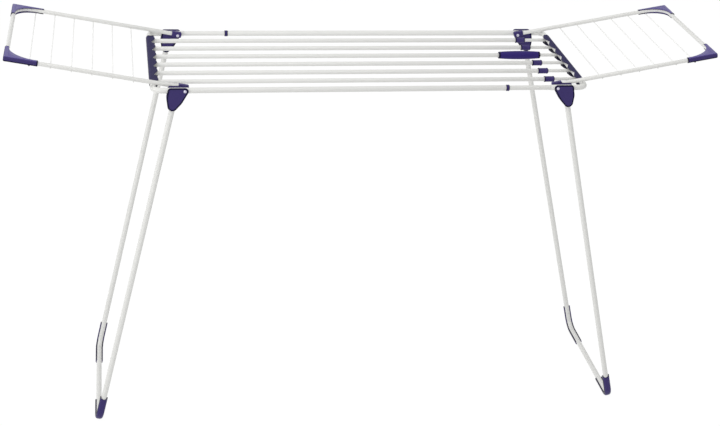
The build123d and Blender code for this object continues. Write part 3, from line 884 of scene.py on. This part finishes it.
def comb_strip(fittings):
    """The comb's wall, from lip to lip round the crossbar, as one strip along it."""
    outer = TUBE_R + fittings.comb_wall
    stations = []
    for y, reach in comb_stations(fittings):
        back = comb_back(fittings, outer, min(y - comb_low.y, comb_high.y - y))
        points = comb_section(fittings, outer, reach, back)
        stations.append([(CROSSBAR_X + x, y, FRAME_Z + z) for x, z in points])
    bm = moulded_strip(stations)
    bmesh.ops.recalc_face_normals(bm, faces=bm.faces)
    # Lips, lower back, ends and the inside of the lower lip get the near-black violet as painted shade.
    paint_shade(bm, is_comb_painted_shade)
    return bm


def is_comb_painted_shade(face):
    """Whether a face lies on the lips, the back's lower half, an end or the inside of the lower lip, where
    the comb is painted near-black as shade.
    """
    spot = face.calc_center_median()
    lips_start = CROSSBAR_X - 2.0 * MM
    lips = spot.x < lips_start and abs(face.normal.z) < 0.5
    back = face.normal.x > 0.3 and face.normal.z < 0.4
    end = abs(face.normal.y) > 0.9
    inside = face.normal.z > 0.3 and spot.z < FRAME_Z
    return lips or back or end or inside


def comb_back(fittings, outer, from_end):
    """How far the comb's back reaches outwards, less near its rounded ends."""
    soft = fittings.comb_end
    if from_end >= soft:
        return outer
    return outer - soft + math.sqrt(soft ** 2 - (soft - max(from_end, 0)) ** 2)


def comb_section(fittings, outer, reach, back):
    """The comb's section as (outwards, up) points about the crossbar's axis."""
    soft = fittings.edge_round
    step = fittings.comb_step
    steps = 14
    outside = [(min(x, back), z) for x, z in arc((0, 0), outer, 90, -90, steps)]
    inside = arc((0, 0), TUBE_R, -90, 90, steps)
    lip = outer - step
    upper = [(-reach, TUBE_R), (-reach, lip - soft), (-reach + soft, lip), (-2 * step, lip)]
    lower = [(x, -z) for x, z in reversed(upper)]
    return outside + lower + inside + upper


class RACK_OT_brackets(bpy.types.Operator):
    """Mould the shield brackets that carry the legs"""

    bl_idname = "rack.brackets"
    bl_label = "Leg brackets"

    def execute(self, context):
        fittings = context.scene.rack_fittings
        plates = [
            shield_plate(fittings, plate_low.y, plate_low.y + fittings.plate, -1),
            shield_plate(fittings, plate_high.y - fittings.plate, plate_high.y, 1),
        ]
        bracket = join(*plates, stop_web(fittings), outer_wall(fittings), leg_socket(fittings))
        all_corners("shield_bracket", bracket, violet_pair(), "legs", "leg_bracket")
        return {"FINISHED"}


def shield_hull(fittings, low_y, high_y):
    """The shield's outline round its four discs, solid between two planes."""
    discs = [
        (0, 0, fittings.plate_round),
        (fittings.corner_out, fittings.plate_round - fittings.corner_round, fittings.corner_round),
        (fittings.belly_out, -fittings.belly_down, fittings.belly_round),
        (fittings.tip_out, -fittings.tip_down, fittings.tip_round),
    ]
    bm = bmesh.new()
    for x, z, radius in discs:
        for y in (low_y, high_y):
            place = facing((PIVOT_X + x, y, FRAME_Z + z), (0, 1, 0))
            bmesh.ops.create_circle(bm, segments=48, radius=radius, cap_ends=False, matrix=place)
    bmesh.ops.delete(bm, geom=list(bm.edges), context="EDGES_FACES")
    hull = bmesh.ops.convex_hull(bm, input=list(bm.verts))
    spare = {item for item in hull["geom_interior"] + hull["geom_unused"] if is_vert(item)}
    bmesh.ops.delete(bm, geom=list(spare), context="VERTS")
    bmesh.ops.dissolve_limit(bm, angle_limit=math.radians(1), verts=bm.verts, edges=bm.edges)
    bmesh.ops.recalc_face_normals(bm, faces=bm.faces)
    return bm


def shield_plate(fittings, low_y, high_y, outwards):
    """One shield plate, with a raised rim on the side that shows, the rim and the plate's edges painted
    near-black as shade.
    """
    bm = shield_hull(fittings, low_y, high_y)
    field = [face for face in bm.faces if face.normal.y * outwards > 0.99]
    width, sink = fittings.plate_rim, fittings.plate_sink
    made = bmesh.ops.inset_region(bm, faces=field, thickness=width, depth=0, use_even_offset=True)
    rim = set(made["faces"])
    # The rim and the plate's edge faces get the near-black violet as painted edge shade.
    paint_shade(bm, lambda face: abs(face.normal.y) < 0.5 or face in rim)
    bmesh.ops.inset_region(bm, faces=field, thickness=sink, depth=-sink, use_even_offset=True)
    round_edges(bm, fittings.edge_round, angle=60)
    return bm


def between_plates(fittings):
    """The shield's shape from plate to plate, below the frame tube, and the height that it ends at."""
    lap = 1.0 * MM
    stop = FRAME_Z - TUBE_R - fittings.stop_gap
    hull = shield_hull(fittings, plate_low.y + lap, plate_high.y - lap)
    cut(hull, (0, 0, stop), (0, 0, 1), False)
    return hull, stop


def stop_web(fittings):
    """The web that stops the legs against the frame tube, cut off where it meets it with them in."""
    web, stop = between_plates(fittings)
    cut(web, (0, 0, stop - fittings.web), (0, 0, 1), True)
    folded = math.pi / 2 + leg_lean()
    normal = Vector((-math.sin(folded), 0, math.cos(folded)))
    cut(web, Vector((PIVOT_X, 0, FRAME_Z)) - normal * (TUBE_R + fittings.stop_gap), normal, False)
    return web


def outer_wall(fittings):
    """The wall between the plates, down the shield's outer side."""
    wall, _ = between_plates(fittings)
    cut(wall, (PIVOT_X + fittings.tip_out, 0, 0), (1, 0, 0), True)
    flat = 0.99
    open_sides = [
        face for face in wall.faces
        if abs(face.normal.y) > flat or face.normal.z > flat or face.normal.x < -flat
    ]
    bmesh.ops.delete(wall, geom=open_sides, context="FACES")
    bmesh.ops.solidify(wall, geom=list(wall.faces), thickness=fittings.web)
    bmesh.ops.recalc_face_normals(wall, faces=wall.faces)
    return wall


def leg_socket(fittings):
    """The sleeve between the plates that a leg is pressed into."""
    top = leg_top()
    depth = fittings.tip_down - 4.0 * MM
    radius = bpy.context.scene.rack_tubing.leg_tube / 2 + fittings.socket_wall
    return tube([leg_axis(top), leg_axis(top - depth)], radius, open_end=True)


class RACK_OT_rivets(bpy.types.Operator):
    """Set the hinge rivets, with a domed head at each end"""

    bl_idname = "rack.rivets"
    bl_label = "Hinge rivets"

    def execute(self, context):
        fittings = context.scene.rack_fittings
        head = (rivet_high.x - rivet_low.x) / 2
        shank = fittings.rivet / 2
        width = rivet_high.y - rivet_low.y
        height = fittings.rivet_head
        profile = both_ends(dome(height, head, 8) + [(height, shank)], width)
        rivet = lathe(profile, (PIVOT_X, rivet_low.y, FRAME_Z), (0, 1, 0), steps=32)
        metal = [finishes()["zinc_plated_steel"]]
        all_corners("rivet", rivet, metal, "frame", "hinge_rivet")
        return {"FINISHED"}


class RACK_OT_legs(bpy.types.Operator):
    """Bend the two leg frames"""

    bl_idname = "rack.legs"
    bl_label = "Leg tubes"

    def execute(self, context):
        sizes = context.scene.rack_tubing
        top = leg_top()
        path = [leg_axis(top), leg_axis(0), leg_axis(0, -1), leg_axis(top, -1)]
        legs = tube(path, sizes.leg_tube / 2, sizes.leg_bend)
        enamel = [finishes()["powder_coated_steel"]]
        both_halves("leg_pipe", legs, enamel, "legs", "leg_tube")
        return {"FINISHED"}


class RACK_OT_feet(bpy.types.Operator):
    """Mould the channel-shaped foot over each bend at the floor"""

    bl_idname = "rack.feet"
    bl_label = "Foot pieces"

    def execute(self, context):
        sizes = context.scene.rack_tubing
        fittings = context.scene.rack_fittings
        top, bend = leg_axis(fittings.foot_up), leg_axis(0)
        points = [top, bend, bend - Vector((0, fittings.foot_along, 0))]
        down = (bend - top).normalized()
        lean = leg_lean()
        side = Vector((math.cos(lean), 0, math.sin(lean)))
        out = side.cross(down).normalized()
        bm = bmesh.new()
        loop = ring_of(bm, [top + out * a + side * b for a, b in foot_section(sizes, fittings)])
        verts = list(bm.verts)
        end = follow(bm, loop, points, sizes.leg_bend, sizes.bend_steps)
        for vert in verts:
            place = vert.co - top
            if place.dot(out) > 0:
                share = 1 - (place.dot(side) / fittings.foot_side) ** 2
                vert.co += down * fittings.foot_dip * share
        for edges in (loop, end):
            bmesh.ops.contextual_create(bm, geom=edges)
        bmesh.ops.recalc_face_normals(bm, faces=bm.faces)
        cut(bm, (0, 0, foot_low.z), (0, 0, 1), True)
        # The foot's side faces and the faces looking up the leg get the near-black violet as painted edge
        # shade.
        paint_shade(bm, lambda face: abs(face.normal.dot(side)) > 0.9 or face.normal.dot(down) < -0.5)
        all_corners("foot_shoe", bm, violet_pair(), "legs", "foot_piece")
        return {"FINISHED"}


def foot_section(sizes, fittings):
    """A foot's section as (outwards, sideways) points: a channel round the tube, open inwards."""
    wide = fittings.foot_side
    lip = -fittings.foot_in
    bore = sizes.leg_tube / 2
    soft = fittings.foot_round
    corner = arc((fittings.foot_out - soft, wide - soft), soft, 90, 0, 6)
    outside = both_sides([(lip, wide - SMALL_ROUND), (lip + SMALL_ROUND, wide)] + corner)
    return outside + [(lip, -bore)] + arc((0, 0), bore, -90, 90, 12) + [(lip, bore)]


class RACK_OT_wings(bpy.types.Operator):
    """Bend the wing tubes and lay the wires under them"""

    bl_idname = "rack.wings"
    bl_label = "Wing tubes and wires"

    def execute(self, context):
        sizes = context.scene.rack_tubing
        place = wing_place()
        reach = wing_length()
        start = 5.0 * MM  # from the hinge rivet, inside the cap
        corners = [(WING_Y, start), (WING_Y, reach), (-WING_Y, reach), (-WING_Y, start)]
        path = [place @ Vector((x, y, sizes.wing_rise)) for x, y in corners]
        bent = tube(path, sizes.wing_tube / 2, sizes.wing_bend)
        enamel = [finishes()["powder_coated_steel"]]
        both_halves("wing_pipe", bent, enamel, "wing", "wing_tube")
        dipped = [finishes()["pvc_dipped_wire"]]
        wires = join(*[wire(number) for number in range(sizes.wire_count)])
        both_halves("wing_wire_set", wires, dipped, "wing", "wing_wires")
        thick = (stop_high.z - stop_low.z) / 2
        centre = Vector((stop_low.x + thick, 2 * WING_Y - stop_high.y, stop_low.z + thick))
        stud = lathe(bar_profile(thick, 2 * (stop_high.y - WING_Y)), centre, (0, 1, 0), steps=16)
        studs = join(mirrored(stud), stud)
        both_halves("wing_stop_studs", studs, dipped, "wing", "wing_stops")
        return {"FINISHED"}


def wire(number):
    """One wing wire, with rounded ends."""
    sizes = bpy.context.scene.rack_tubing
    radius = sizes.wire / 2
    share = number / (sizes.wire_count - 1)
    first = wires_low + Vector((radius, 0, radius))
    last = wires_high - Vector((radius, 0, radius))
    centre = first.lerp(last, share)
    centre.y = wires_low.y
    return lathe(bar_profile(radius, wires_high.y - wires_low.y), centre, (0, 1, 0), steps=16)


class RACK_OT_covers(bpy.types.Operator):
    """Mould the channel-shaped cover over each outer corner of the wings"""

    bl_idname = "rack.covers"
    bl_label = "Wing corner covers"

    def execute(self, context):
        sizes = context.scene.rack_tubing
        fittings = context.scene.rack_fittings
        place = wing_place()
        channel = cover_channel(sizes, fittings, place)
        top = sizes.wing_rise + cover_outer() - fittings.web_sink
        low = 2 * sizes.wing_rise - top
        thick = fittings.corner_wall - 2 * fittings.web_sink
        outline = web_outline(fittings)
        webs = [slab(outline, top - thick, top, place), slab(outline, low, low + thick, place)]
        soft = 0.3 * MM
        for web in webs:
            round_edges(web, soft, angle=50)
            # The web's edge faces get the near-black violet as painted edge shade.
            paint_shade(web, lambda face: abs(face.normal.dot(place.col[2].xyz)) < 0.5)
        cover = join(channel, *webs, wire_boss(sizes, fittings))
        # Third coat: the grained violet, painted as shade on the channel's faces that don't face up.
        coats = violet_pair("glossy_violet") + [finishes()["violet_polypropylene"]]
        all_corners("corner_cover", cover, coats, "wing", "wing_corner")
        return {"FINISHED"}


def cover_outer():
    """Tube's axis to the outer faces of a corner cover."""
    return bpy.context.scene.rack_tubing.wing_tube / 2 + bpy.context.scene.rack_fittings.corner_wall


def cover_section(fittings):
    """The channel's section as (outwards, up) points from the tube's axis, inner lips last."""
    outer = cover_outer()
    soft = fittings.corner_round_over
    wall = fittings.corner_wall
    lip = -fittings.corner_edge
    centre = (outer - soft, outer - soft)
    lips = [(lip, outer - SMALL_ROUND), (lip + SMALL_ROUND, outer)]
    outside = both_sides(lips + arc(centre, soft, 90, 0, 8))
    hollow = arc(centre, soft - wall, 0, 90, 6) + [(lip, outer - wall)]
    return outside + [(out, -up) for out, up in reversed(hollow)] + hollow


def cover_channel(sizes, fittings, place):
    """The channel over the tube, bent sharply round the wing's outer corner."""
    reach = wing_length()
    cuff = 3.5 * MM
    side_end = reach - fittings.corner_side
    cross_end = WING_Y - fittings.corner_end
    section = [(a, sizes.wing_rise + b) for a, b in cover_section(fittings)]
    stations = [[(WING_Y + a, y, z) for a, z in section] for y in (side_end, side_end + cuff)]
    turning = cover_outer() - fittings.corner_sharp
    steps = 4
    for step in range(steps + 1):
        angle = math.pi / 2 * step / steps
        station = []
        for a, z in section:
            inside = min(a, turning)
            swing = a - inside
            x = WING_Y + inside + swing * math.cos(angle)
            y = reach + inside + swing * math.sin(angle)
            station.append((x, y, z))
        stations.append(station)
    stations += [[(x, reach + a, z) for a, z in section] for x in (cross_end + cuff, cross_end)]
    bm = moulded_strip(stations)
    bmesh.ops.remove_doubles(bm, verts=bm.verts, dist=CLOSE)
    bmesh.ops.dissolve_degenerate(bm, edges=bm.edges, dist=CLOSE)
    bmesh.ops.recalc_face_normals(bm, faces=bm.faces)
    below = sizes.wing_rise - cover_outer() + fittings.corner_round_over

    # Faces low on the channel and on the cuffs at its ends, which are painted near-black as shade.
    def is_painted_shade(face):
        spot = face.calc_center_median()
        return spot.z < below or min(spot.y - side_end, spot.x - cross_end) < cuff

    # Faces that don't face up get the darker grained violet as painted shade, then the low faces and cuffs
    # get the near-black violet as painted shade.
    paint_shade(bm, lambda face: face.normal.z < 0.85, coat=2)
    paint_shade(bm, is_painted_shade)
    bmesh.ops.transform(bm, matrix=place, verts=bm.verts)
    return bm


def wire_boss(sizes, fittings):
    """The boss on the channel's underside that holds the end of the last wire."""
    radius = sizes.wire / 2
    wall = 1.0 * MM
    start = wires_high.y - 2 * fittings.corner_edge
    profile = bar_profile(radius + wall, WING_Y + sizes.wing_tube / 2 - start, 6)
    boss = lathe(profile, (wires_high.x - radius, start, wires_high.z - radius), (0, 1, 0), steps=20)
    # The whole boss gets the near-black violet that stands in for shade under the channel.
    paint_shade(boss, lambda face: True)
    return boss


def web_outline(fittings):
    """The web inside a corner cover, seen from above the rear corner."""
    lap = 1.0 * MM
    inner_x = WING_Y - fittings.corner_edge
    inner_y = wing_length() - fittings.corner_edge
    web = fittings.corner_web
    outline = arc((inner_x - web, inner_y - web), web, 90, 0, 18)
    outline += [(inner_x + lap, inner_y - web), (inner_x + lap, inner_y + lap)]
    return outline + [(inner_x - web, inner_y + lap)]


class RACK_OT_caps(bpy.types.Operator):
    """Mould the cap on each wing tube's end, which turns on the hinge rivet"""

    bl_idname = "rack.caps"
    bl_label = "Wing hinge caps"

    def execute(self, context):
        sizes = context.scene.rack_tubing
        fittings = context.scene.rack_fittings
        half = fittings.cap_height / 2
        corner = fittings.cap_round
        soft = 1.2 * MM
        centre = -fittings.cap_in + corner
        outline = [(fittings.cap_out, -half), (fittings.cap_out, half)]
        outline += arc((centre, half - corner), corner, 90, 180, 8)
        outline += arc((centre, corner - half), corner, 180, 270, 8)
        along, up = wing_axes()
        turn = Matrix((along, up, along.cross(up))).transposed().to_4x4()
        origin = Vector((PIVOT_X, 0, FRAME_Z)) + up * sizes.wing_rise
        cap = slab(outline, -cap_high.y, -cap_low.y, Matrix.Translation(origin) @ turn)
        round_edges(cap, soft, segments=3, angle=50)
        # The cap's downward faces get the near-black violet as painted shade.
        paint_shade(cap, lambda face: face.normal.dot(up) < -0.3)
        all_corners("hinge_cap", cap, violet_pair(), "wing", "wing_cap")
        return {"FINISHED"}


class RACK_OT_glides(bpy.types.Operator):
    """Finish the glides inside the tubes and the bush in the gripped rod"""

    bl_idname = "rack.glides"
    bl_label = "Glides and bush"

    def execute(self, context):
        acetal = finishes()["natural_acetal"]
        for name in ("rod_glides", "left_tube_glide", "right_tube_glide", "lock_bush"):
            materials = frame["nodes"][name].data.materials
            materials.clear()
            materials.append(acetal)
        return {"FINISHED"}


class RACK_OT_stage(bpy.types.Operator):
    """Lay the white floor, light it softly and set up the camera"""

    bl_idname = "rack.stage"
    bl_label = "Stage"

    def execute(self, context):
        scene = context.scene
        floor = white_floor()
        scene.world = soft_world()
        area_lamp("overhead_lamp", (-0.6, -0.6, 4.2), (0, 0, 0.6), 3.6, 38)
        area_lamp("front_lamp", (-2.6, -4.2, 2.6), (0, 0, 0.8), 2.4, 42)
        area_lamp("left_lamp", (-7.5, -1.8, 4.8), (0.3, 0, 0.9), 4.0, 150)
        area_lamp("right_lamp", (3.8, -1.2, 2.4), (0, 0, 0.8), 2.0, 8)
        scene.camera = studio_camera()
        scene.view_settings.view_transform = "Standard"
        return {"FINISHED"}


def white_floor():
    """A wide plain floor that looks white and keeps the rack's shadow."""
    reach = 30.0
    glow_strength = 1.04
    glow_share = 0.92
    bm = bmesh.new()
    bmesh.ops.create_grid(bm, x_segments=2, y_segments=2, size=reach)
    mesh = bpy.data.meshes.new("floor")
    bm.to_mesh(mesh)
    bm.free()
    floor = bpy.data.objects.new("floor", mesh)
    bpy.context.scene.collection.objects.link(floor)
    material = emptied(bpy.data.materials.new("white_floor"))
    colour = (*bpy.context.scene.rack_colours.floor, 1)
    matt = node(material, "ShaderNodeBsdfDiffuse", Color=colour)
    glow = node(material, "ShaderNodeEmission", Color=colour, Strength=glow_strength)
    share = node(material, "ShaderNodeMath", [(0, looked_at(material))], operation="MULTIPLY")
    share.inputs[1].default_value = glow_share
    surface = mixed(material, share.outputs[0], matt, glow)
    node(material, "ShaderNodeOutputMaterial", [("Surface", surface)])
    mesh.materials.append(material)
    return floor


def soft_world():
    """An even studio surround: plain white where it is seen, soft light elsewhere."""
    world = emptied(bpy.data.worlds.new("studio"))
    dim = node(world, "ShaderNodeBackground", Color=(1, 1, 1, 1), Strength=0.5)
    bright = node(world, "ShaderNodeBackground", Color=(1, 1, 1, 1), Strength=1.0)
    surface = mixed(world, looked_at(world), dim, bright)
    node(world, "ShaderNodeOutputWorld", [("Surface", surface)])
    return world


def looked_at(owner):
    """One where the eye or a reflection sees a surface, and nothing where only its light falls."""
    rays = node(owner, "ShaderNodeLightPath").outputs
    links = [(0, rays["Is Camera Ray"]), (1, rays["Is Glossy Ray"])]
    return node(owner, "ShaderNodeMath", links, operation="MAXIMUM").outputs[0]


def mixed(owner, share, one, other):
    """Two shaders mixed, the second by its share."""
    links = [(0, share), (1, one.outputs[0]), (2, other.outputs[0])]
    return node(owner, "ShaderNodeMixShader", links).outputs[0]


def area_lamp(name, place, target, width, power):
    """A square soft lamp at a place, aimed at a target, with its width in metres and power in watts."""
    data = bpy.data.lights.new(name, "AREA")
    data.size = width
    data.energy = power
    lamp = bpy.data.objects.new(name, data)
    bpy.context.scene.collection.objects.link(lamp)
    turn = (Vector(target) - Vector(place)).to_track_quat("-Z", "Y")
    lamp.matrix_world = Matrix.Translation(place) @ turn.to_matrix().to_4x4()


def studio_camera():
    """The camera, from its place, heading, downward pitch and roll."""
    place = Vector((-0.71529, -4.71668, 2.58973))
    heading, pitch, roll = 0.21767, 0.39856, -0.06220
    ahead = Vector((
        math.sin(heading) * math.cos(pitch), math.cos(heading) * math.cos(pitch), -math.sin(pitch),
    ))
    level = Vector((math.cos(heading), -math.sin(heading), 0))
    down = ahead.cross(level)
    right = math.cos(roll) * level + math.sin(roll) * down
    up = math.sin(roll) * level - math.cos(roll) * down
    data = bpy.data.cameras.new("camera")
    data.sensor_width = 36
    data.lens = 83.06
    data.shift_x = -0.1383
    data.shift_y = -0.0006
    data.clip_start = 0.1
    data.clip_end = 100
    camera = bpy.data.objects.new("camera", data)
    bpy.context.scene.collection.objects.link(camera)
    turn = Matrix((right, up, -ahead)).transposed().to_4x4()
    camera.matrix_world = Matrix.Translation(place) @ turn
    return camera


OPERATORS = (
    RACK_OT_tubes, RACK_OT_rings, RACK_OT_rods, RACK_OT_collars, RACK_OT_grip, RACK_OT_combs,
    RACK_OT_brackets, RACK_OT_rivets, RACK_OT_legs, RACK_OT_feet, RACK_OT_wings, RACK_OT_covers,
    RACK_OT_caps, RACK_OT_glides, RACK_OT_stage,
)


class RACK_PT_panel(bpy.types.Panel):
    """Sizes, colours and steps of the drying rack"""

    bl_idname = "RACK_PT_panel"
    bl_label = "Drying rack"
    bl_space_type = "VIEW_3D"
    bl_region_type = "UI"
    bl_category = "Rack"

    def draw(self, context):
        layout = self.layout
        for group in (context.scene.rack_tubing, context.scene.rack_fittings, context.scene.rack_colours):
            box = layout.box()
            for name in group.bl_rna.properties.keys():
                if name not in ("rna_type", "name"):
                    box.prop(group, name)
        for step in OPERATORS:
            layout.operator(step.bl_idname)


CLASSES = (RackTubing, RackFittings, RackColours, *OPERATORS, RACK_PT_panel)


def register():
    """Registers the classes and hangs the three groups of settings on the scene."""
    for item in CLASSES:
        bpy.utils.register_class(item)
    bpy.types.Scene.rack_tubing = PointerProperty(type=RackTubing)
    bpy.types.Scene.rack_fittings = PointerProperty(type=RackFittings)
    bpy.types.Scene.rack_colours = PointerProperty(type=RackColours)


def unregister():
    """Takes back what register did."""
    del bpy.types.Scene.rack_colours
    del bpy.types.Scene.rack_fittings
    del bpy.types.Scene.rack_tubing
    for item in reversed(CLASSES):
        bpy.utils.unregister_class(item)


def main():
    register()
    for step in OPERATORS:
        group, name = step.bl_idname.split(".")
        getattr(getattr(bpy.ops, group), name)()


if __name__ == "__main__":
    main()
